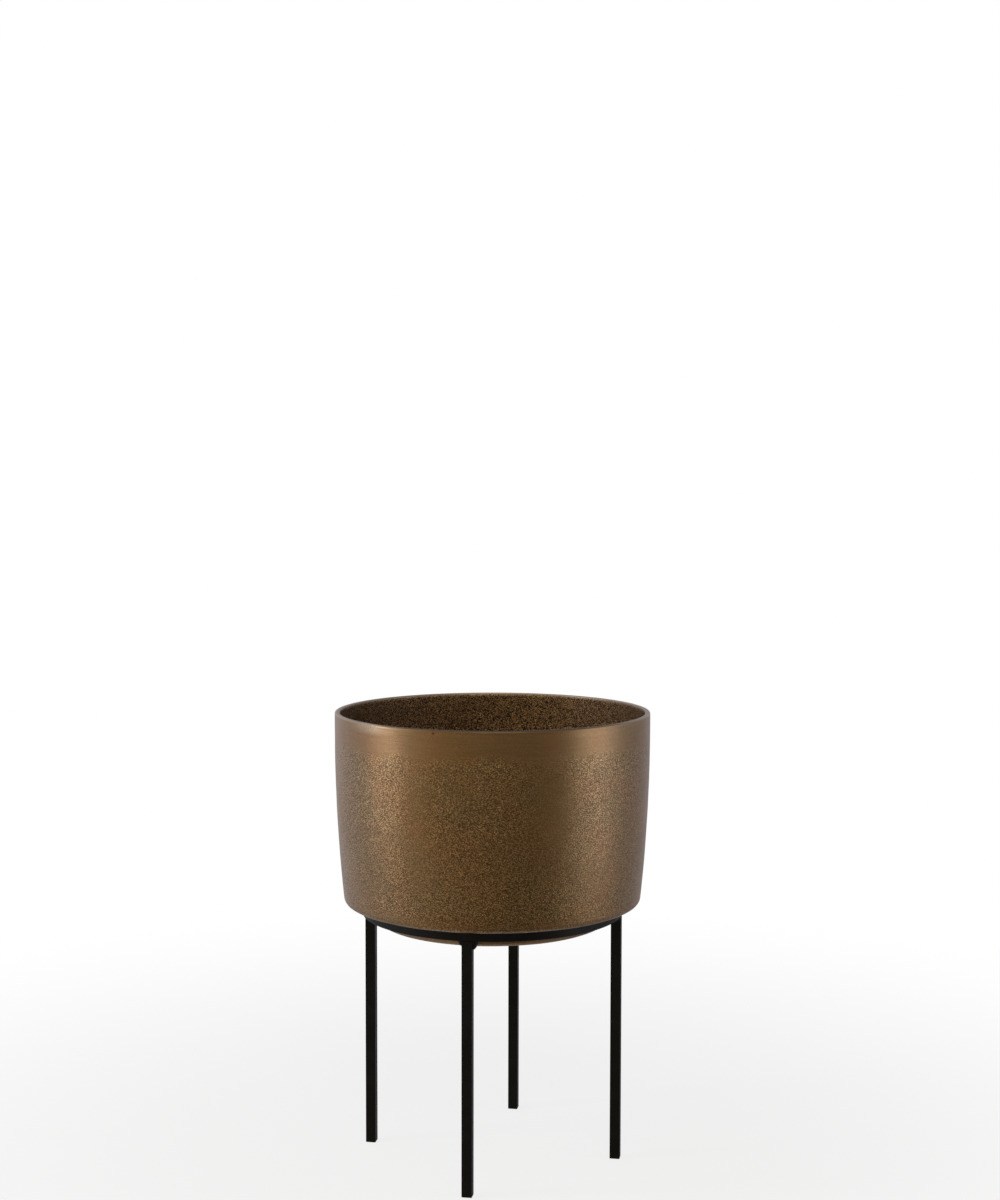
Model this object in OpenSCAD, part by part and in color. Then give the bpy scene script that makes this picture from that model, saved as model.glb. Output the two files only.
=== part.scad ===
// Round drum-shaped planter pot of cast brass on a low stand of black square bar.
// The stand is a ring with four straight legs, butt-welded to the ring's underside.
// The pot's underside rests on the ring, its stepped foot sits inside the ring,
// and the pot lifts straight out. Millimetres. The origin is on the floor on the
// pot's axis, +Z is up, and the legs stand on the X and Y axes, the front one at -Y.

/* [Pot] */
// Outer diameter at the rim
rim_d = 312; // [260:1:400]
// Height from the ring's top face to the rim
pot_h = 190.5; // [140:0.5:260]
// Thickness of the cast wall
wall = 5; // [3:0.5:7]
// How much the outer radius shrinks from the rim to the bottom corner
belly_drop = 8.7; // [2:0.1:12]
// How late the side turns inwards: 2 is a parabola, more keeps the top straighter
belly_power = 2.3; // [1.5:0.1:4]
// Radius of the bottom corner
corner_r = 6; // [3:0.5:8]
// Rise of the underside from the ring's edge out to the bottom corner, in degrees
underside_slope = 5.5; // [0:0.5:8]
// Radius of the fillet inside the bottom corner
inner_corner_r = 12; // [8:1:20]
// Radius that softens both edges of the rim
rim_edge_r = 1.4; // [0.4:0.1:1.4]

/* [Foot] */
// How far the foot reaches below the ring's top face
foot_h = 18.8; // [14:0.1:30]
// Gap between the foot and the inside of the ring, on each side
foot_gap = 2.5; // [1.6:0.1:6]
// Radius of the foot's bottom edge
foot_edge_r = 8; // [2:0.5:10]
// Radius of the fillet between the foot and the underside
foot_fillet_r = 1.5; // [0.5:0.1:1.5]

/* [Stand] */
// Height of the ring's top face above the floor
stand_h = 253.5; // [120:0.5:600]
// Width of the square bar that the ring and the legs are made of
bar = 10; // [8:0.5:16]
// Radius of the bar's long edges
bar_edge_r = 0.8; // [0.4:0.1:1.5]
// How far the ring's outer face lies inside the pot's rim
ring_inset = 26.5; // [23:0.5:45]

/* [Welds] */
// How far each fillet bead reaches out from the leg, under the ring
bead_reach = 4.5; // [2:0.5:6]
// How far each fillet bead reaches down the leg
bead_drop = 6.5; // [2:0.5:8]
// Gap between a bead's ends and the bar's faces
bead_setback = 0.8; // [0.5:0.1:1.5]

/* [Hidden] */

// Directions of the four legs, counted from +X towards +Y
front = -90;
right = 0;
back = 90;
left = 180;

// Straight steps in a side's curve and in a quarter arc, and facets of a full turn
side_steps = 20;
arc_steps = 6;
turn_fn = 180;
edge_fn = 24;

// Stand
ring_r = rim_d / 2 - ring_inset;
ring_low_z = stand_h - bar;
leg_r = ring_r - bar / 2;

// Outside of the pot
rim_r = rim_d / 2;
rim_z = stand_h + pot_h;
knee_r = rim_r - belly_drop;
knee_lean = atan(belly_drop * belly_power / pot_h);
corner_centre_r = knee_r - corner_r * cos(knee_lean);
corner_end_r = corner_centre_r + corner_r * sin(underside_slope);
corner_end_z = stand_h + (corner_end_r - ring_r) * tan(underside_slope);
corner_centre_z = corner_end_z + corner_r * cos(underside_slope);
knee_z = corner_centre_z - corner_r * sin(knee_lean);
foot_r = ring_r - bar - foot_gap;
foot_z = stand_h - foot_h;

// Inside of the pot: a shelf above the ring and a shallow well in the foot
shelf_z = stand_h + wall;
well_r = foot_r - wall;
well_z = foot_z + wall;
well_edge_r = 4;
inner_corner_z = shelf_z + inner_corner_r;

// Outer radius of the pot's side at a height
function side_r(z) = rim_r - belly_drop * pow(min(1, (rim_z - z) / (rim_z - knee_z)), belly_power);

// Points along an arc about (r, z), from one angle to another
function arc(r, z, size, from, to) =
    [for (i = [0 : arc_steps])
        let (a = from + (to - from) * i / arc_steps)
        [r + size * cos(a), z + size * sin(a)]];

// Points along the pot's side between two heights, set in from the outside
function side(z_from, z_to, inset) =
    [for (i = [1 : side_steps - 1])
        let (z = z_from + (z_to - z_from) * i / side_steps)
        [side_r(z) - inset, z]];

// Square bar's cross-section with rounded edges, centred on the origin
module bar_section() {
    flat = bar - 2 * bar_edge_r;
    square([flat, bar], center = true);
    square([bar, flat], center = true);
    for (x = [-flat / 2, flat / 2])
        for (y = [-flat / 2, flat / 2])
            translate([x, y])
                circle(r = bar_edge_r, $fn = edge_fn);
}

// Half of the pot's section: down the outside to the foot, and up the inside to the rim
module pot_section() {
    outside = concat(
        arc(rim_r - rim_edge_r, rim_z - rim_edge_r, rim_edge_r, 90, 0),
        side(rim_z - rim_edge_r, knee_z, 0),
        arc(corner_centre_r, corner_centre_z, corner_r, -knee_lean, underside_slope - 90),
        [[ring_r, stand_h]],
        arc(foot_r + foot_fillet_r, stand_h - foot_fillet_r, foot_fillet_r, 90, 180),
        arc(foot_r - foot_edge_r, foot_z + foot_edge_r, foot_edge_r, 0, -90),
        [[0, foot_z]]);
    inner_knee_z = inner_corner_z - inner_corner_r * sin(knee_lean);
    inner_centre_r = side_r(inner_knee_z) - wall - inner_corner_r * cos(knee_lean);
    inside = concat(
        [[0, well_z]],
        arc(well_r - well_edge_r, well_z + well_edge_r, well_edge_r, -90, 0),
        arc(well_r + well_edge_r, shelf_z - well_edge_r, well_edge_r, 180, 90),
        arc(inner_centre_r, inner_corner_z, inner_corner_r, -90, -knee_lean),
        side(inner_knee_z, rim_z - rim_edge_r, wall),
        arc(rim_r - wall + rim_edge_r, rim_z - rim_edge_r, rim_edge_r, 180, 90));
    polygon(concat(outside, inside));
}

// Cast drum with a closed, stepped bottom
module pot() {
    color("#7d5f3a")
        rotate_extrude($fn = turn_fn)
            pot_section();
}

// Square bar rolled into a ring
module stand_ring() {
    color("#1c1b1b")
        rotate_extrude($fn = turn_fn)
            translate([ring_r - bar / 2, stand_h - bar / 2])
                bar_section();
}

// Straight square bar from the floor to the ring's underside
module leg(direction) {
    color("#1c1b1b")
        rotate(direction)
            translate([leg_r, 0, 0])
                linear_extrude(ring_low_z)
                    bar_section();
}

// Two fillet beads, one on each side of a leg's top, in the corner under the ring
module leg_welds(direction) {
    length = bar - 2 * bead_setback;
    quarter_oval = concat(
        [[0, 0]],
        [for (i = [0 : arc_steps])
            let (a = 90 * i / arc_steps)
            [-bead_drop * cos(a), bead_reach * sin(a)]]);
    color("#242323")
        rotate(direction)
            for (flip = [0, 1])
                mirror([0, flip, 0])
                    translate([leg_r + length / 2, bar / 2, ring_low_z])
                        rotate([0, -90, 0])
                            linear_extrude(length)
                                polygon(quarter_oval);
}

pot();
stand_ring();
leg(front);  // leg_front
leg(right);  // leg_right
leg(back);  // leg_back
leg(left);  // leg_left
leg_welds(front);  // leg_welds_front
leg_welds(right);  // leg_welds_right
leg_welds(back);  // leg_welds_back
leg_welds(left);  // leg_welds_left
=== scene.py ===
"""Brass planter pot on its black square-bar stand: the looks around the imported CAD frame."""

import math

import bpy
import numpy as np
from mathutils import Matrix, Vector, noise


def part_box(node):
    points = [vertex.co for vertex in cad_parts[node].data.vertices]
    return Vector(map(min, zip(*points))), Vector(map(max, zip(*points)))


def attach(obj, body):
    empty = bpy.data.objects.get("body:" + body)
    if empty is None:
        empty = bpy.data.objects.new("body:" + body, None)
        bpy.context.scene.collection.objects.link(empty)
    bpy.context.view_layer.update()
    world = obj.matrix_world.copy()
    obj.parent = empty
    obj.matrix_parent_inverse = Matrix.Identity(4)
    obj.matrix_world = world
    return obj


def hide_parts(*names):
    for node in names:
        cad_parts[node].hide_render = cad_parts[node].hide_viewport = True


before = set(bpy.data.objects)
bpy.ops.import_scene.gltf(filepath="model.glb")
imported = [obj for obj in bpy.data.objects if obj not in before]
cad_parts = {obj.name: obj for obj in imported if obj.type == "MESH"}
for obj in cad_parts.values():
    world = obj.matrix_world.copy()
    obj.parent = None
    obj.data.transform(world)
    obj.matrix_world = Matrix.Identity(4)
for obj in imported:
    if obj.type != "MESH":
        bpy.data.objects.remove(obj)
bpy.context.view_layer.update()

# ---------------------------------------------------------------- sizes, in metres
MM = 0.001

pot_low, pot_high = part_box("pot")
ring_low, ring_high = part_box("stand_ring")

RIM_R = pot_high.x
RIM_Z = pot_high.z
FOOT_Z = pot_low.z
SEAT_Z = ring_high.z
SIDE_H = RIM_Z - SEAT_Z
RING_R = ring_high.x
RING_LOW_Z = ring_low.z
BAR = ring_high.z - ring_low.z
LEG_R = RING_R - BAR / 2

# The pot's section, as in the CAD source
WALL = 5 * MM
BELLY_DROP = 8.7 * MM
BELLY_POWER = 2.3
CORNER_R = 6 * MM
UNDERSIDE_SLOPE = math.radians(5.5)
INNER_CORNER_R = 12 * MM
RIM_EDGE_R = 1.4 * MM
FOOT_GAP = 2.5 * MM
FOOT_EDGE_R = 8 * MM
FOOT_FILLET_R = 1.5 * MM
WELL_EDGE_R = 4 * MM

# The bar's section, and the guard points beside its rounded edges that keep its faces looking flat
BAR_EDGE_R = 0.8 * MM
BAR_EDGE_STEPS = 4
GUARD = 0.25 * MM
RING_COLUMNS = 240

# A leg's lower end, its edges just broken: how far each loop is drawn in from the bar's face, and its height
LEG_END = ((1.2 * MM, 0), (0.45 * MM, 0), (0.32 * MM, 0.05 * MM), (0.12 * MM, 0.18 * MM),
           (0, 0.45 * MM), (0, 1.2 * MM))
LEG_STEPS = 8
LEG_TOP_GUARD = 0.5 * MM

# Legs: name, and degrees round from the front one towards the right
LEGS = (("front", 0), ("right", 90), ("back", 180), ("left", 270))

# Weld beads of a leg: its side (1 is the right), and how far the bead reaches out and down
BEADS = ((1, 4.5 * MM, 7.6 * MM), (-1, 4.2 * MM, 5.6 * MM))
BEAD_LENGTH = BAR - 1.2 * MM
BEAD_ROOT = 0.4 * MM
# Each bead swells or thins by up to this share, with a phase that steps on from leg to leg
BEAD_SWELL = 0.07
BEAD_SWELL_STEP = 2.3
BEAD_STEPS = 36
BEAD_ARC_STEPS = 12
# How late a bead thins out towards its ends, how thin it gets, and how flat its face is
BEAD_TAPER = 3.2
BEAD_THINNEST = 0.04
BEAD_FLATNESS = 1.12
# Ripples along a bead: height, rate, and how far the phase shifts them
BEAD_RIPPLES = ((0.055, 9.5, 1), (0.030, 4.1, 2))

# How finely each stretch of the pot is meshed
EDGE_STEP = 0.35 * MM
RIM_STEP = 0.6 * MM
FINE = 1.07 * MM
MEDIUM = 2.2 * MM
COARSE = 3.5 * MM
# Columns in a full turn, and where they halve: closer than this together, but no fewer than this
COLUMNS = 960
CLOSEST_COLUMNS = 0.62 * MM
FEWEST_COLUMNS = 30
# The inside of the pot has one column for every two outside
OUTSIDE_SHARE = 1
INSIDE_SHARE = 2

# ---------------------------------------------------------------- the pot's skin
# Brushed band under the rim, which fades into the cast skin
BAND_DEPTH = 18 * MM
BAND_FADE = 17 * MM
# Above the bottom corner the skin gets smoother, from one height above the seat to another
CORNER_FADE_FROM = 18 * MM
CORNER_FADE_TO = 7 * MM
CORNER_SMOOTHED = 0.35
# Inside, the skin starts between these depths below the rim
INSIDE_FADE = (0.6 * MM, 3 * MM)
# How strong the skin is on the side, how much that varies, and its strength under the pot
CAST_LEVEL = 0.95
CAST_VARIES = 0.08
CAST_UNDER = 0.35
# What the brushing leaves of the skin, and the most that there is anywhere
CAST_LEAST = 0.15
CAST_MOST = 1.4

# Height of the skin's pebbles, what is added to it inside, and how far the pebbles are bent
PEBBLE_H = 0.020 * MM
PEBBLE_H_INSIDE = 0.012 * MM
PEBBLE_BEND = 0.4 * MM
# Waviness of the wall: its height, and the share that is taken off so that it stays inside its size
WAVE_H = 0.12 * MM
WAVE_SINK = 0.7
# Below the rim the waviness and pebbles start between these depths
TRUE_RIM = (1.0 * MM, 5 * MM)
# The foot's flat underside keeps this share of them
FOOT_SHARE = 0.3
# How close a point is to the seat, the foot's underside, the pot's underside and the rim to count as on it
SEAT_REACH = 0.2 * MM
FOOT_REACH = 0.05 * MM
UNDER_REACH = 1 * MM
RIM_REACH = 2 * MM
# The rim's outer edge is dressed back a hair over this depth
RIM_DRESSED = 9 * MM
RIM_DRESSED_BY = 0.22 * MM

# The rim's edge carries a painted highlight, but painted shade for a stretch this many degrees to each side
# of the front
SHADED_RIM_HALF_WIDTH = 50
EDGE_DEPTH = 0.3 * MM
EDGE_HALF_WIDTH = 1.6 * MM
# A spot below the rim, rubbed smoother and with a painted highlight in its colour: degrees round from the
# camera's side, and where it ends below
RUBBED_HIGHLIGHT_AT = -48
RUBBED_HIGHLIGHT_HALF_WIDTH = 7
RUBBED_HIGHLIGHT_END = (2 * MM, 12 * MM)

# Gas pits in the casting: degrees round from the camera's side, and millimetres below the rim
PITS = ((-20.3, 3.4), (63, 96), (-118, 31), (141, 9), (-171, 72), (97, 140))
PIT_R = 0.9 * MM
PIT_DEPTH = 0.4 * MM
PIT_FULLNESS = 1.6

# Places on the side: angle from the camera's side and half width in degrees, height and half height
# in metres, strength, and how patchy it is
# Where handling and polishing have worn the casting smoother, or below 0 left it coarser:
WORN = (
    (21, 9, 0.378, 0.060, 0.75, 0.0),
    (-27, 6, 0.365, 0.075, 0.55, 0.1),
    (-6, 28, 0.272, 0.036, -0.30, 0.2),
    (42, 13, 0.292, 0.030, 0.40, 0.2),
    (-52, 13, 0.292, 0.030, 0.22, 0.2),
    (-88, 14, 0.350, 0.090, 0.60, 0.2),
    (80, 18, 0.345, 0.100, 0.82, 0.1),
    (118, 12, 0.330, 0.070, 0.70, 0.2),
    (160, 10, 0.385, 0.050, 0.60, 0.2),
    (-135, 16, 0.340, 0.070, 0.65, 0.2),
    (-165, 9, 0.375, 0.050, 0.50, 0.2),
)
# Where the tops of the grain are polished down, with the patina still dark in the pits:
POLISHED = (
    (43, 18, 0.320, 0.140, 0.50, 0.4),
    (-49, 16, 0.340, 0.110, 0.25, 0.6),
    (130, 20, 0.350, 0.110, 0.30, 0.4),
    (-140, 20, 0.330, 0.110, 0.30, 0.4),
)
# All the places at one point together act between these strengths
PLACE_LIMITS = (-0.5, 1)

# Blender's noise times this is about -1 to 1
NOISE_GAIN = 1.6
# Layers of noise on the pot: wavelength, a shift that makes each its own, and strength
BAND_EDGE = ((24 * MM, (3.1, 7.7, 1.9), 3.5 * MM), (9 * MM, (5, 2, 8), 2 * MM))
CAST_PATCHES = ((36 * MM, (1.3, 4.2, 9.6), 1), (15 * MM, (8.8, 0.4, 2.2), 0.5))
WEAR_PATCHES = ((7 * MM, (7.3, 5.1, 0.9), 1),)
WAVES = ((38 * MM, (2.5, 3.5, 4.5), 1), (16 * MM, (6, 1, 3), 0.40))
PEBBLES = ((2.1 * MM, (0.5, 0.2, 0.7), 0.75), (3.3 * MM, (4, 6, 2), 0.45))
# What bends the pebbles, one set of layers along each axis
PEBBLE_BENDS = (((4 * MM, (1, 3, 3), 1),), ((4 * MM, (5, 11, 3), 1),), ((4 * MM, (9, 19, 3), 1),))
# Pebbles are cut off at this height above and below the middle
PEBBLES_MOST = 1.2

# ---------------------------------------------------------------- the materials' looks
# Every colour is in linear light
# Brass: cast skin, brushed metal, blotches and smears in the patina, and the two ways that its hue strays
SKIN_PITS = (0.178, 0.105, 0.047, 1)
SKIN_TOPS = (0.985, 0.654, 0.362, 1)
BRUSHED_DARK = (0.345, 0.205, 0.101, 1)
BRUSHED_PALE = (0.605, 0.372, 0.193, 1)
BLOTCH = (0.330, 0.215, 0.120, 1)
SMEAR = (0.520, 0.335, 0.190, 1)
REDDER = (1.035, 0.985, 0.95, 1)
GREENER = (0.97, 1.0, 0.985, 1)
INSIDE_PITS = (0.016, 0.009, 0.004, 1)
INSIDE_TOPS = (0.660, 0.400, 0.190, 1)
# Painted highlight: the near-white brass of the rubbed spot under the rim stands in for a reflection
PAINTED_HIGHLIGHT_BRASS = (0.950, 0.740, 0.510, 1)
# Painted highlight along the rim's edge to the sides, and painted shade on it at the front
PAINTED_RIM_HIGHLIGHT = (0.720, 0.590, 0.470, 1)
PAINTED_RIM_SHADE = (0.080, 0.048, 0.024, 1)
GAS_PIT = (0.020, 0.014, 0.008, 1)

# Grain of the skin: how it is squeezed, its cells to a metre, and the share of each noise in its height
GRAIN_SQUEEZE = (0.86, 0.86, 1.35)
GRAIN_CELLS = 1130.0
GRAIN_SHARE = 0.55
LUMP_CELLS = 900.0
LUMP_SHARE = 0.45
# The mesh's relief shifts the grain by this much, and the patina turns from pit to top between two heights
RELIEF_SHIFT = 0.02
PIT_TO_TOP = (0.45, 0.62)
# Brushing runs round the pot, so its marks are thin in height and long sideways
BRUSH_CELLS = (30.0, 30.0, 900.0)
# Patina: cells to a metre, the noise levels where each comes in, and how far it goes
BLOTCH_CELLS = 22.0
BLOTCH_SPAN = (0.42, 0.70, 0.0, 0.18)
SMEAR_CELLS = 7.0
SMEAR_SPAN = (0.40, 0.65, 0.0, 0.15)
HUE_CELLS = 30.0
HUE_SPAN = (0.36, 0.64)
# How far the rubbed spot takes on its painted highlight, and the rim's edge its painted highlight and
# painted shade
PAINTED_HIGHLIGHT_SHARE = 0.75
RIM_PAINT_SHARE = 0.85
# Roughness: brushed metal, the skin's pits and tops, and what each thing adds or takes off
BRUSHED_ROUGH = 0.35
PITS_ROUGH = 0.40
TOPS_ROUGH = 0.27
BLOTCH_ROUGHER = (0.35, 0.70, 0.0, 0.05)
INSIDE_ROUGHER = 0.12
DULL_EDGE_ROUGHER = 0.20
BUFFED_SMOOTHER = 0.14
# Bump: the grain's height, what is added to it inside, and the height of the brushing
GRAIN_H = 0.50 * MM
GRAIN_MORE_INSIDE = 1.4
BRUSHED_H = 0.13 * MM
# Clear coat over the brass
COAT = 0.5
COAT_ROUGH = 0.32

# Black powder coat: plain and dusty colour and roughness, and how strongly it reflects
BLACK = (0.0024, 0.0023, 0.0026, 1)
DUSTY_BLACK = (0.0044, 0.0042, 0.0046, 1)
BLACK_ROUGH = 0.40
DUSTY_ROUGH = 0.50
BLACK_SHINE = 0.32
# Its dust: cells to a metre, and the noise levels between which its colour and its roughness come in
DUST_CELLS = 55.0
DUST_COLOUR_SPAN = (0.45, 0.75)
DUST_ROUGH_SPAN = (0.3, 0.7)
# Its orange peel: cells to a metre and share of the fine and the wide noise, height and strength
PEEL_CELLS = 900.0
PEEL_SHARE = 0.4
SAG_CELLS = 160.0
SAG_SHARE = 0.6
PEEL_H = 0.12 * MM
PEEL_STRENGTH = 0.5

# ---------------------------------------------------------------- camera and studio
# The place and aim that see the object as a person 1.8 m away does
LEG_TURN = math.radians(10.6)
CAMERA_DISTANCE = 1.8082
CAMERA_HEIGHT = 0.6688
CAMERA_PITCH = math.radians(3.648)
CAMERA_YAW = math.radians(0.228)
CAMERA_ROLL = math.radians(0.095)
CAMERA_LENS = 55.05

BACKDROP = 1.0
FLOOR_SIZE = 12.0
FLOOR_CELLS = 24
FLOOR_COLOUR = (0.90, 0.90, 0.90, 1)
# The floor turns into the backdrop between two distances from its middle, from one share to the other
FLOOR_FADE = (0.20, 1.10)
FLOOR_FADE_SHARES = (0.80, 1.0)

# The room as the metal sees it: degrees round from the camera's side, and brightness there
ROOM = (
    (-180, 0.45), (-147, 0.50), (-115, 0.43), (-95, 0.39), (-62, 0.36), (-40, 0.25), (-15, 0.19),
    (10, 0.135), (45, 0.115), (60, 0.20), (75, 0.32), (110, 0.30), (125, 0.25), (150, 0.38), (180, 0.45),
)
# Its tint behind the object and in front of it, its ceiling, and what is left of it near the floor
ROOM_BACK_TINT = (0.98, 0.99, 1.08, 1)
ROOM_FRONT_TINT = (1.09, 0.91, 0.60, 1)
ROOM_TOP_LEFT = (0.50, 0.50, 0.50, 1)
ROOM_TOP_RIGHT = (0.12, 0.12, 0.12, 1)
ROOM_LOW_SHARE = (0.68, 0.66, 0.61, 1)
# Where each comes in, as parts of a unit direction: towards the front, down, up, and towards the right
ROOM_TINT_SPAN = (-0.2, 0.8)
ROOM_LOW_SPAN = (-0.08, -0.50)
ROOM_TOP_SPAN = (0.25, 0.85)
ROOM_TOP_SIDE_SPAN = (-0.9, 0.1)

# Softboxes: name, degrees round from the camera's side, distance, height, width, tallness, watts, colour
LIGHTS = (
    ("softbox_left", -78, 2.0, 1.08, 0.40, 2.0, 8.0, (1.0, 0.99, 1.0)),
    ("softbox_right", 77, 2.2, 0.65, 1.25, 2.0, 5.1, (1.0, 1.0, 1.05)),
    ("overhead", 0, 0.3, 2.4, 2.0, 2.0, 3.5, (1, 1, 1)),
    ("above_front", 5, 2.6, 2.3, 1.3, 0.8, 14, (1.0, 0.91, 0.76)),
)
LIGHT_AIM_Z = 0.32


# ---------------------------------------------------------------- camera
def make_camera():
    """A nearly level view from in front, with the front leg a little left of the middle."""
    turn = Matrix.Rotation(LEG_TURN, 3, "Z")
    forward = turn @ Vector((
        math.sin(CAMERA_YAW) * math.cos(CAMERA_PITCH),
        math.cos(CAMERA_YAW) * math.cos(CAMERA_PITCH),
        -math.sin(CAMERA_PITCH)))
    level = turn @ Vector((math.cos(CAMERA_YAW), -math.sin(CAMERA_YAW), 0))
    up = level.cross(forward)
    right = level * math.cos(CAMERA_ROLL) + up * math.sin(CAMERA_ROLL)
    up = right.cross(forward)
    data = bpy.data.cameras.new("camera")
    data.lens = CAMERA_LENS
    camera = bpy.data.objects.new("camera", data)
    bpy.context.scene.collection.objects.link(camera)
    place = turn @ Vector((0, -CAMERA_DISTANCE, CAMERA_HEIGHT))
    camera.matrix_world = Matrix.Translation(place) @ Matrix((right, up, -forward)).transposed().to_4x4()
    bpy.context.scene.camera = camera


def from_camera(angle, distance, height):
    """A point at an angle round the pot's axis, counted from the camera's side towards its right."""
    a = LEG_TURN + math.radians(angle)
    return Vector((distance * math.sin(a), -distance * math.cos(a), height))


def angle_from_camera(points):
    """The angle of each point round the pot's axis, in degrees, counted in the same way."""
    return np.degrees(np.arctan2(points[:, 0], -points[:, 1])) - math.degrees(LEG_TURN)


# ---------------------------------------------------------------- node helpers
class Nodes:
    """Short forms for building a material's or the world's node tree."""

    def __init__(self, tree):
        self.tree = tree
        tree.nodes.clear()

    def add(self, kind, values=None, **settings):
        """A node with these settings, and a link or a plain value for each named socket."""
        node = self.tree.nodes.new("ShaderNode" + kind)
        for name, value in settings.items():
            setattr(node, name, value)
        for socket, value in (values or {}).items():
            if isinstance(value, bpy.types.NodeSocket):
                self.tree.links.new(value, node.inputs[socket])
            else:
                node.inputs[socket].default_value = value
        return node

    def math(self, operation, a, b=0.0, clamp=False):
        """One step of arithmetic on numbers."""
        return self.add("Math", {0: a, 1: b}, operation=operation, use_clamp=clamp).outputs[0]

    def mix(self, factor, a, b, blend="MIX"):
        """A colour between two colours."""
        return self.add("Mix", {0: factor, 6: a, 7: b}, data_type="RGBA", blend_type=blend).outputs[2]

    def between(self, factor, a, b):
        """A number between two numbers."""
        return self.add("Mix", {0: factor, 2: a, 3: b}).outputs[0]

    def span(self, value, low, high, to_low=0.0, to_high=1.0, smooth=True):
        """The value carried from one range to another, eased at both ends unless smooth is off."""
        kind = "SMOOTHSTEP" if smooth else "LINEAR"
        values = {"Value": value, "From Min": low, "From Max": high,
                  "To Min": to_low, "To Max": to_high}
        return self.add("MapRange", values, interpolation_type=kind).outputs[0]

    def noise(self, where, scale, detail=2.0, rough=0.5, distort=0.0):
        """Noise with about this many cells to each unit of length."""
        values = {"Vector": where, "Scale": scale, "Detail": detail,
                  "Roughness": rough, "Distortion": distort}
        return self.add("TexNoise", values).outputs["Fac"]

    def attribute(self, name):
        """A value that the mesh carries at each point."""
        return self.add("Attribute", attribute_name=name).outputs["Fac"]


def new_material(name):
    """An empty material, and the short forms for its node tree."""
    material = bpy.data.materials.new(name)
    material.use_nodes = True
    return material, Nodes(material.node_tree)


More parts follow.
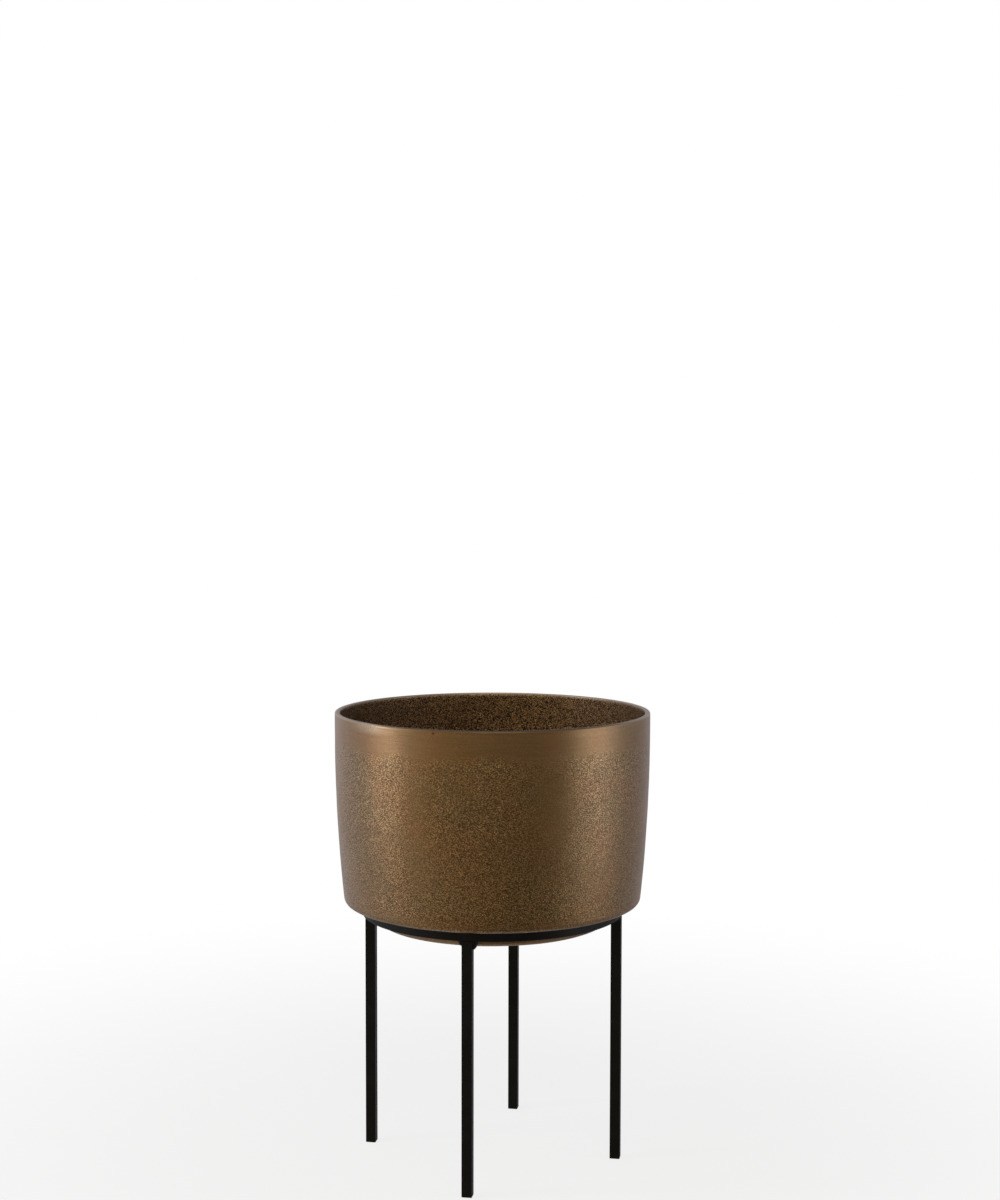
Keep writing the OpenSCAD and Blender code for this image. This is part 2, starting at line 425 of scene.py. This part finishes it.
# ---------------------------------------------------------------- materials
def antique_brass():
    """Patinated cast brass: brown in the pits, paler where it is brushed, darker inside."""
    material, n = new_material("antique_brass")
    where = n.add("TexCoord").outputs["Object"]
    relief = n.attribute("relief")
    cast = n.attribute("cast")
    stain = n.attribute("stain")
    inside = n.attribute("inside")
    edge = n.attribute("edge")
    buffed_and_highlight = n.attribute("buffed_and_highlight")

    # Fine grain of the casting, below the size that the mesh itself carries
    flat = n.add("Mapping", {"Vector": where, "Scale": GRAIN_SQUEEZE}).outputs[0]
    grain = n.noise(flat, GRAIN_CELLS, detail=1.0, rough=0.4)
    lumps = n.noise(flat, LUMP_CELLS, detail=1.0, rough=0.4, distort=0.2)
    height = n.math("ADD", n.math("MULTIPLY", grain, GRAIN_SHARE), n.math("MULTIPLY", lumps, LUMP_SHARE))
    level = n.math("ADD", n.math("MULTIPLY", relief, RELIEF_SHIFT), height)
    tops = n.span(level, *PIT_TO_TOP)

    # Marks of the brushing, and unevenness of the patina
    squeeze = n.add("Mapping", {"Vector": where, "Scale": BRUSH_CELLS}).outputs[0]
    brushed = n.noise(squeeze, 1.0, detail=3.0, rough=0.6)
    blotch = n.noise(where, BLOTCH_CELLS, detail=3.0, rough=0.6)
    smear = n.noise(where, SMEAR_CELLS, detail=2.0)
    tint = n.noise(where, HUE_CELLS, detail=2.0)

    skin = n.mix(tops, SKIN_PITS, SKIN_TOPS)
    smooth = n.mix(brushed, BRUSHED_DARK, BRUSHED_PALE)
    colour = n.mix(stain, smooth, skin)
    colour = n.mix(n.span(blotch, *BLOTCH_SPAN), colour, BLOTCH)
    colour = n.mix(n.span(smear, *SMEAR_SPAN), colour, SMEAR)
    hue = n.mix(n.span(tint, *HUE_SPAN), REDDER, GREENER)
    colour = n.mix(1.0, colour, hue, blend="MULTIPLY")
    # The inside has darker pits and tops of its own
    inside_colour = n.mix(tops, INSIDE_PITS, INSIDE_TOPS)
    colour = n.mix(inside, colour, inside_colour)
    # Painted highlight: the rubbed spot under the rim is lightened towards near-white brass
    colour = n.mix(n.math("MULTIPLY", buffed_and_highlight, PAINTED_HIGHLIGHT_SHARE), colour, PAINTED_HIGHLIGHT_BRASS)
    # Painted highlight on the rim's edge to the sides, and painted shade at its front that dims the lamps'
    # reflection there
    edge_highlight = n.span(edge, 0.0, 1.0, smooth=False)
    edge_shade = n.span(edge, 0.0, -1.0, smooth=False)
    colour = n.mix(n.math("MULTIPLY", edge_highlight, RIM_PAINT_SHARE), colour, PAINTED_RIM_HIGHLIGHT)
    colour = n.mix(n.math("MULTIPLY", edge_shade, RIM_PAINT_SHARE), colour, PAINTED_RIM_SHADE)
    colour = n.mix(n.attribute("pit"), colour, GAS_PIT)

    # Brushing has polished the tops of the grain and left the pits dull
    polish = n.span(tops, 0.0, 1.0, PITS_ROUGH, TOPS_ROUGH, smooth=False)
    rough = n.between(cast, BRUSHED_ROUGH, polish)
    rough = n.math("ADD", rough, n.span(blotch, *BLOTCH_ROUGHER))
    rough = n.math("ADD", rough, n.math("MULTIPLY", inside, INSIDE_ROUGHER))
    rough = n.math("ADD", rough, n.math("MULTIPLY", edge_shade, DULL_EDGE_ROUGHER))
    rough = n.math("SUBTRACT", rough, n.math("MULTIPLY", buffed_and_highlight, BUFFED_SMOOTHER))

    # The grain stands out where the skin is strong, more so inside, and the brushing where it is weak
    coarser = n.math("ADD", n.math("MULTIPLY", inside, GRAIN_MORE_INSIDE), 1.0)
    grain_height = n.math("MULTIPLY", height, n.math("MULTIPLY", cast, coarser))
    bumps = n.add("Bump", {"Height": grain_height, "Distance": GRAIN_H, "Strength": 1.0})
    lines = n.add("Bump", {"Height": brushed, "Distance": BRUSHED_H,
                           "Strength": n.math("SUBTRACT", 1.0, cast, clamp=True),
                           "Normal": bumps.outputs[0]})

    shader = n.add("BsdfPrincipled", {"Base Color": colour, "Roughness": rough,
                                      "Normal": lines.outputs[0]})
    shader.inputs["Metallic"].default_value = 1.0
    shader.inputs["Coat Weight"].default_value = COAT
    shader.inputs["Coat Roughness"].default_value = COAT_ROUGH
    n.add("OutputMaterial", {"Surface": shader.outputs[0]})
    return material


def black_coat():
    """Satin black powder coat with a fine orange peel."""
    material, n = new_material("black_coat")
    where = n.add("TexCoord").outputs["Object"]
    peel = n.noise(where, PEEL_CELLS, detail=1.0)
    sag = n.noise(where, SAG_CELLS, detail=1.0)
    dust = n.noise(where, DUST_CELLS, detail=4.0, rough=0.65)
    colour = n.mix(n.span(dust, *DUST_COLOUR_SPAN), BLACK, DUSTY_BLACK)
    rough = n.span(dust, *DUST_ROUGH_SPAN, BLACK_ROUGH, DUSTY_ROUGH)
    height = n.math("ADD", n.math("MULTIPLY", peel, PEEL_SHARE), n.math("MULTIPLY", sag, SAG_SHARE))
    bump = n.add("Bump", {"Height": height, "Distance": PEEL_H, "Strength": PEEL_STRENGTH})
    shader = n.add("BsdfPrincipled", {"Base Color": colour, "Roughness": rough,
                                      "Normal": bump.outputs[0]})
    shader.inputs["Specular IOR Level"].default_value = BLACK_SHINE
    n.add("OutputMaterial", {"Surface": shader.outputs[0]})
    return material


# ---------------------------------------------------------------- the pot's section
def arc(r, z, size, start, end, step):
    """Points along an arc about (r, z), angles in degrees, a step apart or less."""
    start, end = math.radians(start), math.radians(end)
    count = max(2, math.ceil(abs(end - start) * size / step))
    return [(r + size * math.cos(start + (end - start) * i / count),
             z + size * math.sin(start + (end - start) * i / count)) for i in range(count + 1)]


def straight(a, b, step):
    """Points strictly between a and b, a step apart or less."""
    count = max(1, math.ceil(math.dist(a, b) / step))
    return [(a[0] + (b[0] - a[0]) * i / count, a[1] + (b[1] - a[1]) * i / count)
            for i in range(1, count)]


def pot_profile():
    """The pot's section: from the rim down the outside to the foot's middle, and back up the inside.

    Gives two lists of (radius, height), and the height of the well's floor."""
    lean = math.atan(BELLY_DROP * BELLY_POWER / SIDE_H)
    corner_r = RIM_R - BELLY_DROP - CORNER_R * math.cos(lean)
    end_r = corner_r + CORNER_R * math.sin(UNDERSIDE_SLOPE)
    end_z = SEAT_Z + (end_r - RING_R) * math.tan(UNDERSIDE_SLOPE)
    corner_z = end_z + CORNER_R * math.cos(UNDERSIDE_SLOPE)
    knee_z = corner_z - CORNER_R * math.sin(lean)
    foot_r = RING_R - BAR - FOOT_GAP
    well_r = foot_r - WALL
    well_z = FOOT_Z + WALL
    shelf_z = SEAT_Z + WALL

    def side_r(z):
        u = min(1.0, (RIM_Z - z) / (RIM_Z - knee_z))
        return RIM_R - BELLY_DROP * max(0.0, u) ** BELLY_POWER

    def side(z_from, z_to, inset, step):
        count = math.ceil(abs(z_to - z_from) / step)
        heights = [z_from + (z_to - z_from) * i / count for i in range(1, count)]
        return [(side_r(z) - inset, z) for z in heights]

    lean_deg = math.degrees(lean)
    slope_deg = math.degrees(UNDERSIDE_SLOPE)
    edge_z = RIM_Z - RIM_EDGE_R
    inner_z = shelf_z + INNER_CORNER_R
    inner_knee_z = inner_z - INNER_CORNER_R * math.sin(lean)
    inner_r = side_r(inner_knee_z) - WALL - INNER_CORNER_R * math.cos(lean)

    outside = arc(RIM_R - RIM_EDGE_R, edge_z, RIM_EDGE_R, 90, 0, EDGE_STEP)
    outside += side(edge_z, knee_z, 0, FINE)
    corner = arc(corner_r, corner_z, CORNER_R, -lean_deg, slope_deg - 90, FINE)
    outside += corner
    outside += straight(corner[-1], (RING_R, SEAT_Z), MEDIUM) + [(RING_R, SEAT_Z)]
    fillet = arc(foot_r + FOOT_FILLET_R, SEAT_Z - FOOT_FILLET_R, FOOT_FILLET_R, 90, 180, EDGE_STEP * 2)
    outside += straight((RING_R, SEAT_Z), fillet[0], MEDIUM) + fillet
    foot = arc(foot_r - FOOT_EDGE_R, FOOT_Z + FOOT_EDGE_R, FOOT_EDGE_R, 0, -90, FINE)
    outside += straight(fillet[-1], foot[0], FINE) + foot
    outside += straight(foot[-1], (0, FOOT_Z), COARSE)

    inside = straight((0, well_z), (well_r - WELL_EDGE_R, well_z), COARSE)
    inside += arc(well_r - WELL_EDGE_R, well_z + WELL_EDGE_R, WELL_EDGE_R, -90, 0, FINE)
    well_top = arc(well_r + WELL_EDGE_R, shelf_z - WELL_EDGE_R, WELL_EDGE_R, 180, 90, FINE)
    inside += straight(inside[-1], well_top[0], MEDIUM) + well_top
    corner = arc(inner_r, inner_z, INNER_CORNER_R, -90, -lean_deg, MEDIUM)
    inside += straight(well_top[-1], corner[0], MEDIUM) + corner
    inside += side(inner_knee_z, edge_z, WALL, MEDIUM)
    rim = arc(RIM_R - WALL + RIM_EDGE_R, edge_z, RIM_EDGE_R, 180, 90, EDGE_STEP)
    inside += rim + straight(rim[-1], outside[0], RIM_STEP)

    return outside, inside, well_z


def section_normals(section, last):
    """Normals in the closed section, pointing out of the metal. The outside ends at index last."""
    step = np.roll(section, -1, axis=0) - np.roll(section, 1, axis=0)
    step[last] = section[last] - section[last - 1]
    step[last + 1] = section[last + 2] - section[last + 1]
    step /= np.linalg.norm(step, axis=1)[:, None]
    return np.stack([-step[:, 1], step[:, 0]], axis=1)


# ---------------------------------------------------------------- lathe
def column_counts(radii, shares):
    """Columns for each ring, halved as the rings get small, and never by more than one halving."""
    counts = []
    for r, share in zip(radii, shares):
        count = COLUMNS // share
        while count > FEWEST_COLUMNS and math.tau * r / count < CLOSEST_COLUMNS * share:
            count //= 2
        counts.append(count)
    for i in range(1, len(counts)):
        counts[i] = max(counts[i], counts[i - 1] // 2)
    for i in reversed(range(len(counts) - 1)):
        counts[i] = max(counts[i], counts[i + 1] // 2)
    return counts


def bridge(a, a_count, b, b_count):
    """Faces between a ring starting at vertex a and the next ring starting at vertex b."""
    faces = []
    if a_count == b_count:
        for i in range(a_count):
            j = (i + 1) % a_count
            faces.append((a + i, b + i, b + j, a + j))
    elif a_count > b_count:
        for i in range(b_count):
            j = (i + 1) % b_count
            left, middle, right = a + 2 * i, a + 2 * i + 1, a + (2 * i + 2) % a_count
            faces += [(left, b + i, middle), (middle, b + i, b + j), (middle, b + j, right)]
    else:
        for i in range(a_count):
            j = (i + 1) % a_count
            left, middle, right = b + 2 * i, b + 2 * i + 1, b + (2 * i + 2) % b_count
            faces += [(a + i, left, middle), (a + i, middle, a + j), (a + j, middle, right)]
    return faces


def ring_edges(start, count):
    """Pairs of neighbouring vertices round the ring that starts at vertex start."""
    return [(start + k, start + (k + 1) % count) for k in range(count)]


def lathe_pot():
    """The pot's plain shape: its points, their normals, 1 for those inside and 0 for the rest, and faces."""
    outside, inside, well_z = pot_profile()
    section = np.array(outside + inside)
    last = len(outside) - 1
    shares = [OUTSIDE_SHARE] * len(outside) + [INSIDE_SHARE] * len(inside)
    counts = column_counts(section[:, 0], shares)

    starts, places, normals, insides = [], [], [], []
    total = 0
    for (r, z), (nr, nz), count, share in zip(section, section_normals(section, last), counts, shares):
        a = np.arange(count) * (math.tau / count)
        places.append(np.stack([r * np.sin(a), -r * np.cos(a), np.full(count, z)], axis=1))
        normals.append(np.stack([nr * np.sin(a), -nr * np.cos(a), np.full(count, nz)], axis=1))
        insides.append(np.full(count, float(share == INSIDE_SHARE)))
        starts.append(total)
        total += count
    foot_middle, well_middle = total, total + 1
    places.append(np.array([(0, 0, FOOT_Z), (0, 0, well_z)]))
    normals.append(np.array([(0, 0, -1.0), (0, 0, 1.0)]))
    insides.append(np.array([0.0, 1.0]))

    faces = []
    for i in range(len(counts)):
        j = (i + 1) % len(counts)
        if i != last:
            faces += bridge(starts[i], counts[i], starts[j], counts[j])
    faces += [(a, foot_middle, b) for a, b in ring_edges(starts[last], counts[last])]
    faces += [(a, b, well_middle) for a, b in ring_edges(starts[last + 1], counts[last + 1])]
    return np.concatenate(places), np.concatenate(normals), np.concatenate(insides), faces


# ---------------------------------------------------------------- the pot
def smooth_step(x, low, high):
    """0 below low, 1 above high, and eased between them."""
    t = np.clip((x - low) / (high - low), 0, 1)
    return t * t * (3 - 2 * t)


def field(points, layers):
    """Layers of smooth noise at each point, each from about -1 to 1 times its strength."""
    total = np.zeros(len(points))
    for wavelength, shift, strength in layers:
        moved = points / wavelength + np.array(shift)
        values = np.fromiter((noise.noise(p) for p in moved.tolist()), float, len(points))
        total += values * NOISE_GAIN * strength
    return total


def place_field(points, places):
    """How strongly these places act at each point of the side."""
    angle = angle_from_camera(points)
    total = np.zeros(len(points))
    patches = field(points, WEAR_PATCHES)
    for centre, half_width, height, half_height, strength, patchy in places:
        across = (angle - centre + 180) % 360 - 180
        down = points[:, 2] - height
        place = np.exp(-(across / half_width) ** 2 - (down / half_height) ** 2)
        total += strength * place * (1 + patchy * patches)
    return np.clip(total, *PLACE_LIMITS)


def cast_skin(points, depth, under, inside):
    """How strongly the cast skin stands out at each point, and how strongly its patina shows there."""
    cast = smooth_step(depth + field(points, BAND_EDGE), BAND_DEPTH, BAND_DEPTH + BAND_FADE)
    near_corner = smooth_step(depth, SIDE_H - CORNER_FADE_FROM, SIDE_H - CORNER_FADE_TO)
    cast *= 1 - CORNER_SMOOTHED * near_corner
    cast *= CAST_LEVEL + CAST_VARIES * np.clip(field(points, CAST_PATCHES), -1, 1)
    cast *= 1 - place_field(points, WORN)
    cast = np.where(inside > 0.5, smooth_step(depth, *INSIDE_FADE), cast)
    cast = np.clip(np.where(under, CAST_UNDER, cast), CAST_LEAST, CAST_MOST)
    stain = np.clip(cast, 0, 1)
    cast *= 1 - place_field(points, POLISHED) * (inside < 0.5)
    return cast, stain


def pebbled(points):
    """The pebbles of the sand at each point, bent a little so that they run together."""
    bend = np.stack([field(points, layers) for layers in PEBBLE_BENDS], axis=1)
    return np.clip(field(points + bend * PEBBLE_BEND, PEBBLES), -PEBBLES_MOST, PEBBLES_MOST)


def gas_pits(points, inside):
    """The few gas pits, each a small dark hole: 1 in its middle and 0 away from it."""
    pit = np.zeros(len(points))
    for degrees, below_rim in PITS:
        centre = np.array(from_camera(degrees, RIM_R, RIM_Z - below_rim * MM))
        distance = np.linalg.norm(points - centre, axis=1)
        pit += np.exp(-(distance / PIT_R) ** 2) * (inside < 0.5)
    return np.clip(pit * PIT_FULLNESS, 0, 1)


def free_to_wave(points, radius, depth, under):
    """0 on the rim's edge and the seat, which stay true, a little on the foot, and 1 elsewhere."""
    free = smooth_step(depth, *TRUE_RIM)
    level = np.abs(points[:, 2] - SEAT_Z) < SEAT_REACH
    seat = level & under & (radius > RING_R - BAR - FOOT_GAP - UNDER_REACH)
    free = np.where(seat, 0, free)
    return np.where((points[:, 2] < FOOT_Z + FOOT_REACH) & under, FOOT_SHARE, free)


def make_pot():
    """The pot as one closed lathe, with the skin of a sand casting in its surface."""
    points, normals, inside, faces = lathe_pot()
    outside = inside < 0.5
    radius = np.hypot(points[:, 0], points[:, 1])
    depth = RIM_Z - points[:, 2]
    under = (radius < RING_R + UNDER_REACH) & outside

    cast, stain = cast_skin(points, depth, under, inside)
    relief = pebbled(points) * cast
    pit = gas_pits(points, inside)
    lift = relief * (PEBBLE_H + PEBBLE_H_INSIDE * inside) + (field(points, WAVES) - WAVE_SINK) * WAVE_H
    lift *= free_to_wave(points, radius, depth, under)
    lift -= np.clip(1 - depth / RIM_DRESSED, 0, 1) ** 2 * outside * RIM_DRESSED_BY
    points = points + normals * (lift - pit * PIT_DEPTH)[:, None]

    # The spot under the rim, rubbed smoother and with a painted highlight, and the rim's edge: 1 where it
    # has a painted highlight and -1 where it has painted shade
    angle = angle_from_camera(points)
    buffed_and_highlight = np.exp(-((angle - RUBBED_HIGHLIGHT_AT) / RUBBED_HIGHLIGHT_HALF_WIDTH) ** 2) * outside
    buffed_and_highlight *= 1 - smooth_step(depth, *RUBBED_HIGHLIGHT_END)
    near_rim = radius > RIM_R - WALL - RIM_REACH
    edge = np.clip(1 - np.abs(depth - EDGE_DEPTH) / EDGE_HALF_WIDTH, 0, 1) * near_rim
    edge *= 1 - 2 * np.exp(-(angle / SHADED_RIM_HALF_WIDTH) ** 4)

    mesh = bpy.data.meshes.new("brass_pot")
    mesh.from_pydata(points.tolist(), [], faces)
    values = {"relief": relief, "cast": cast, "stain": stain, "inside": inside,
              "edge": edge, "buffed_and_highlight": buffed_and_highlight, "pit": pit}
    for name, value in values.items():
        attribute = mesh.attributes.new(name, "FLOAT", "POINT")
        attribute.data.foreach_set("value", value.astype(np.float32))
    add_piece("brass_pot", mesh, antique_brass(), "pot", "antique_brass", "pot")


# ---------------------------------------------------------------- pieces
def add_piece(name, mesh, material, body, slot, *nodes):
    """Shows the mesh in place of these CAD nodes, riding on the body."""
    mesh.polygons.foreach_set("use_smooth", np.ones(len(mesh.polygons), bool))
    mesh.update()
    mesh.materials.append(material)
    piece = bpy.data.objects.new(name, mesh)
    bpy.context.scene.collection.objects.link(piece)
    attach(piece, body)
    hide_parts(*nodes)


def add_stand_piece(name, node, points, faces, material):
    """Shows these faces in place of one CAD node of the stand."""
    mesh = bpy.data.meshes.new(name)
    mesh.from_pydata(points, [], faces)
    add_piece(name, mesh, material, "stand", "black_coat", node)


def rounded_square(side, radius, steps):
    """A rounded square about the origin, counter-clockwise, with a point close to each end of its flats."""
    half = side / 2 - radius
    points = []
    for quarter, (x, y) in enumerate(((1, 1), (-1, 1), (-1, -1), (1, -1))):
        start, end = math.radians(90 * quarter), math.radians(90 * (quarter + 1))
        corner = [(x * half + radius * math.cos(a), y * half + radius * math.sin(a))
                  for a in (math.radians(90 * (quarter + i / steps)) for i in range(steps + 1))]
        before = (corner[0][0] - GUARD * math.cos(end), corner[0][1] - GUARD * math.sin(end))
        after = (corner[-1][0] - GUARD * math.cos(start), corner[-1][1] - GUARD * math.sin(start))
        points += [before] + corner + [after]
    return points


def tube(size, loops, closed=False):
    """Faces of a tube through loops of size points, joined into a ring if it is closed."""
    faces = []
    for k in range(loops if closed else loops - 1):
        here, there = k * size, (k + 1) % loops * size
        for i in range(size):
            j = (i + 1) % size
            faces.append((here + i, there + i, there + j, here + j))
    return faces


def make_ring(material):
    """The ring: square bar rolled on the flat, with no joint to be seen."""
    section = rounded_square(BAR, BAR_EDGE_R, BAR_EDGE_STEPS)
    middle_z = (ring_low.z + ring_high.z) / 2
    points = []
    for c in range(RING_COLUMNS):
        a = math.tau * c / RING_COLUMNS
        for across, up in section:
            r = LEG_R + across
            points.append((r * math.sin(a), -r * math.cos(a), middle_z + up))
    add_stand_piece("ring", "stand_ring", points, tube(len(section), RING_COLUMNS, closed=True), material)


def place_round(angle, out, along, up):
    """A point of a leg or bead: out from the pot's axis, along the ring's line, and up."""
    a = math.radians(angle)
    return (out * math.sin(a) + along * math.cos(a), -out * math.cos(a) + along * math.sin(a), up)


def make_leg(name, angle, material):
    """A straight square bar, cut square, with the lower cut's edges just broken."""
    section = rounded_square(BAR, BAR_EDGE_R, BAR_EDGE_STEPS)
    size = len(section)
    loops = list(LEG_END)
    loops += [(0, RING_LOW_Z * i / LEG_STEPS) for i in range(1, LEG_STEPS)]
    loops += [(0, RING_LOW_Z - LEG_TOP_GUARD), (0, RING_LOW_Z)]
    points = []
    for inset, z in loops:
        scale = 1 - inset / (BAR / 2)
        points += [place_round(angle, LEG_R - across * scale, along * scale, z) for across, along in section]
    faces = tube(size, len(loops))
    faces.append(tuple(range(size)))
    faces.append(tuple(reversed(range((len(loops) - 1) * size, len(loops) * size))))
    add_stand_piece("leg_bar_" + name, "leg_" + name, points, faces, material)


def bead(angle, side, reach, drop, phase):
    """Points and faces of one fillet bead under the ring, on one side of a leg."""
    points, faces = [], []
    for k in range(BEAD_STEPS + 1):
        s = 2 * k / BEAD_STEPS - 1
        taper = max(BEAD_THINNEST, 1 - abs(s) ** BEAD_TAPER) ** 0.5
        ripple = 1 + sum(h * math.sin(s * rate + shift * phase) for h, rate, shift in BEAD_RIPPLES)
        out = LEG_R + s * BEAD_LENGTH / 2
        points.append(place_round(angle, out, side * (BAR / 2 - BEAD_ROOT), RING_LOW_Z + BEAD_ROOT))
        for t in range(BEAD_ARC_STEPS + 1):
            a = math.radians(90 * t / BEAD_ARC_STEPS)
            x = reach * taper * ripple * math.cos(a) ** BEAD_FLATNESS
            z = drop * taper * ripple * math.sin(a) ** BEAD_FLATNESS
            along = BAR / 2 + x - (BEAD_ROOT if t == BEAD_ARC_STEPS else 0)
            up = RING_LOW_Z - z + (BEAD_ROOT if t == 0 else 0)
            points.append(place_round(angle, out, side * along, up))
    size = BEAD_ARC_STEPS + 2
    for k in range(BEAD_STEPS):
        for i in range(size):
            j = (i + 1) % size
            faces.append((k * size + i, k * size + j, (k + 1) * size + j, (k + 1) * size + i))
    faces.append(tuple(reversed(range(size))))
    faces.append(tuple(range(BEAD_STEPS * size, (BEAD_STEPS + 1) * size)))
    if side > 0:
        faces = [tuple(reversed(face)) for face in faces]
    return points, faces


def make_welds(name, angle, seed, material):
    """The two beads that hold one leg, the right one fuller, as they were run by hand."""
    points, faces = [], []
    for side, reach, drop in BEADS:
        swell = 1 + BEAD_SWELL * math.sin(seed * BEAD_SWELL_STEP + side)
        new_points, new_faces = bead(angle, side, reach * swell, drop * swell, seed + side)
        faces += [tuple(i + len(points) for i in face) for face in new_faces]
        points += new_points
    add_stand_piece("beads_" + name, "leg_welds_" + name, points, faces, material)


def make_stand():
    """The ring, the legs and their welds, all in one coat."""
    material = black_coat()
    make_ring(material)
    for seed, (name, angle) in enumerate(LEGS):
        make_leg(name, angle, material)
        make_welds(name, angle, seed, material)


# ---------------------------------------------------------------- studio
def make_floor():
    """A pale floor that fades into the backdrop a little way out."""
    row = FLOOR_CELLS + 1
    points = [((x / FLOOR_CELLS - 0.5) * FLOOR_SIZE, (y / FLOOR_CELLS - 0.5) * FLOOR_SIZE, 0)
              for y in range(row) for x in range(row)]
    faces = [(y * row + x, y * row + x + 1, (y + 1) * row + x + 1, (y + 1) * row + x)
             for y in range(FLOOR_CELLS) for x in range(FLOOR_CELLS)]
    mesh = bpy.data.meshes.new("studio_floor")
    mesh.from_pydata(points, [], faces)
    material, n = new_material("studio_floor")
    where = n.add("TexCoord").outputs["Object"]
    length = n.add("VectorMath", {0: where}, operation="LENGTH").outputs["Value"]
    away = n.span(length, *FLOOR_FADE, *FLOOR_FADE_SHARES)
    matte = n.add("BsdfDiffuse", {"Color": FLOOR_COLOUR})
    glow = n.add("Emission", {"Color": (1, 1, 1, 1), "Strength": BACKDROP})
    blend = n.add("MixShader", {0: away, 1: matte.outputs[0], 2: glow.outputs[0]})
    n.add("OutputMaterial", {"Surface": blend.outputs[0]})
    mesh.materials.append(material)
    floor = bpy.data.objects.new("studio_floor", mesh)
    bpy.context.scene.collection.objects.link(floor)
    floor.visible_glossy = False


def make_world():
    """Seen by the camera: an even pale backdrop. Seen by the metal: a dim room, darkest in front."""
    world = bpy.data.worlds.new("studio")
    bpy.context.scene.world = world
    world.use_nodes = True
    n = Nodes(world.node_tree)
    direction = n.add("TexCoord").outputs["Generated"]

    def along(axis):
        return n.add("VectorMath", {0: direction, 1: axis}, operation="DOT_PRODUCT").outputs["Value"]

    front = along(from_camera(0, 1, 0))
    side = along(from_camera(90, 1, 0))
    turn = n.math("ARCTAN2", side, front)
    place = n.math("ADD", n.math("MULTIPLY", turn, 1 / math.tau), 0.5)
    ramp = n.add("ValToRGB", {"Fac": place})
    elements = ramp.color_ramp.elements
    while len(elements) < len(ROOM):
        elements.new(0.5)
    for element, (degrees, level) in zip(elements, ROOM):
        element.position = degrees / 360 + 0.5
        element.color = (level, level, level, 1)
    tint = n.mix(n.span(front, *ROOM_TINT_SPAN), ROOM_BACK_TINT, ROOM_FRONT_TINT)
    height = n.add("SeparateXYZ", {0: direction}).outputs["Z"]
    low = n.span(height, *ROOM_LOW_SPAN)
    room = n.mix(low, ramp.outputs["Color"], ROOM_LOW_SHARE, blend="MULTIPLY")
    top = n.mix(n.span(side, *ROOM_TOP_SIDE_SPAN), ROOM_TOP_LEFT, ROOM_TOP_RIGHT)
    room = n.mix(n.span(height, *ROOM_TOP_SPAN), room, top)
    room = n.mix(1.0, room, tint, blend="MULTIPLY")
    seen = n.add("LightPath").outputs["Is Camera Ray"]
    lit = n.add("Background", {"Color": room, "Strength": 1.0})
    backdrop = n.add("Background", {"Color": (1, 1, 1, 1), "Strength": BACKDROP})
    blend = n.add("MixShader", {0: seen, 1: lit.outputs[0], 2: backdrop.outputs[0]})
    n.add("OutputWorld", {"Surface": blend.outputs[0]})


def add_light(name, angle, distance, height, width, tallness, watts, colour):
    """A softbox at an angle round from the camera's side, aimed at the object."""
    data = bpy.data.lights.new(name, "AREA")
    data.shape = "RECTANGLE"
    data.size = width
    data.size_y = tallness
    data.energy = watts
    data.color = colour
    light = bpy.data.objects.new(name, data)
    bpy.context.scene.collection.objects.link(light)
    place = from_camera(angle, distance, height)
    light.location = place
    light.rotation_euler = (Vector((0, 0, LIGHT_AIM_Z)) - place).to_track_quat("-Z", "Y").to_euler()
    light.visible_camera = False


make_camera()
make_world()
make_floor()
for light in LIGHTS:
    add_light(*light)
make_pot()
make_stand()

bpy.context.scene.view_settings.view_transform = "Standard"
